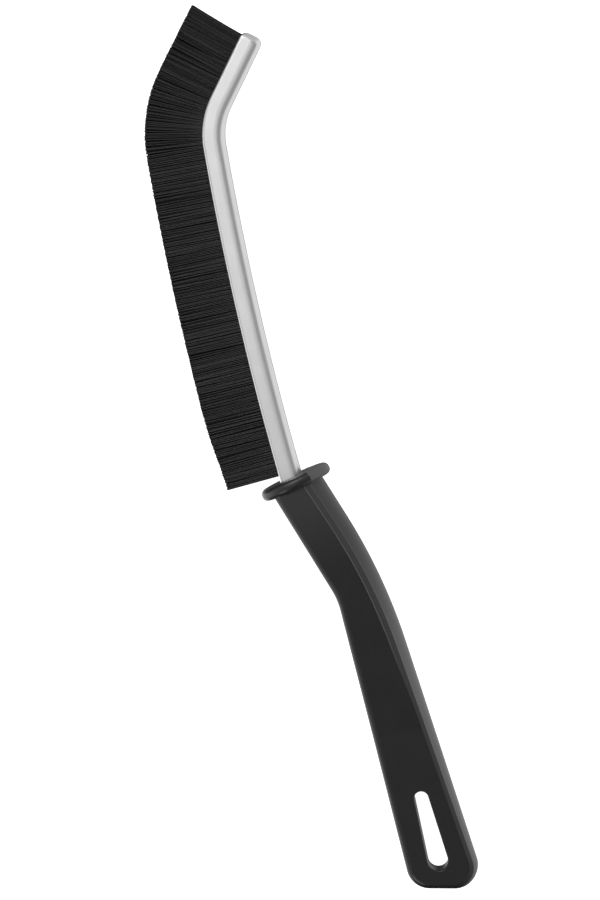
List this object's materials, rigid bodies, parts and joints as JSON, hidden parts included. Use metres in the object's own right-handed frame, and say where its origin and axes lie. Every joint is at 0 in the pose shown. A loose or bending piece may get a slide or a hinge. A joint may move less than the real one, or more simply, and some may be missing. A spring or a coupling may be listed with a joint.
{
  "type": "wheel brush",
  "caption": "Slim detailing brush: a bent steel strip of stiff nylon filament in a cranked, collared moulded handle with a hanging slot.",
  "frame": {"origin": "centre of the brush's box in plan, on the surface that the brush lies on", "axes": "+Y runs along the lower handle to the head, +Z is the thickness as the brush lies on its flat side, and the filament points to -X"},
  "size_m": [0.0436, 0.2538, 0.016],
  "materials": {
    "black_plastic": "satin moulded polypropylene with a fine grain",
    "satin_steel": "satin, drawn along the strip",
    "bright_wire": "bright drawn wire",
    "black_nylon": "straight round filament, cut level"
  },
  "bodies": {
    "root": {"handle": "black_plastic", "channel": "satin_steel", "core_wire": "bright_wire", "filament_bundle_01": "black_nylon", "filament_bundle_02": "black_nylon", "filament_bundle_03": "black_nylon", "filament_bundle_04": "black_nylon", "filament_bundle_05": "black_nylon", "filament_bundle_06": "black_nylon", "filament_bundle_07": "black_nylon", "filament_bundle_08": "black_nylon", "filament_bundle_09": "black_nylon", "filament_bundle_10": "black_nylon", "filament_bundle_11": "black_nylon", "filament_bundle_12": "black_nylon", "filament_bundle_13": "black_nylon", "filament_bundle_14": "black_nylon", "filament_bundle_15": "black_nylon", "filament_bundle_16": "black_nylon", "filament_bundle_17": "black_nylon", "filament_bundle_18": "black_nylon", "filament_bundle_19": "black_nylon", "filament_bundle_20": "black_nylon", "filament_bundle_21": "black_nylon", "filament_bundle_22": "black_nylon", "filament_bundle_23": "black_nylon", "filament_bundle_24": "black_nylon", "filament_bundle_25": "black_nylon", "filament_bundle_26": "black_nylon", "filament_bundle_27": "black_nylon", "filament_bundle_28": "black_nylon", "filament_bundle_29": "black_nylon", "filament_bundle_30": "black_nylon", "filament_bundle_31": "black_nylon", "filament_bundle_32": "black_nylon", "filament_bundle_33": "black_nylon", "filament_bundle_34": "black_nylon", "filament_bundle_35": "black_nylon", "filament_bundle_36": "black_nylon"}
  },
  "joints": []
}
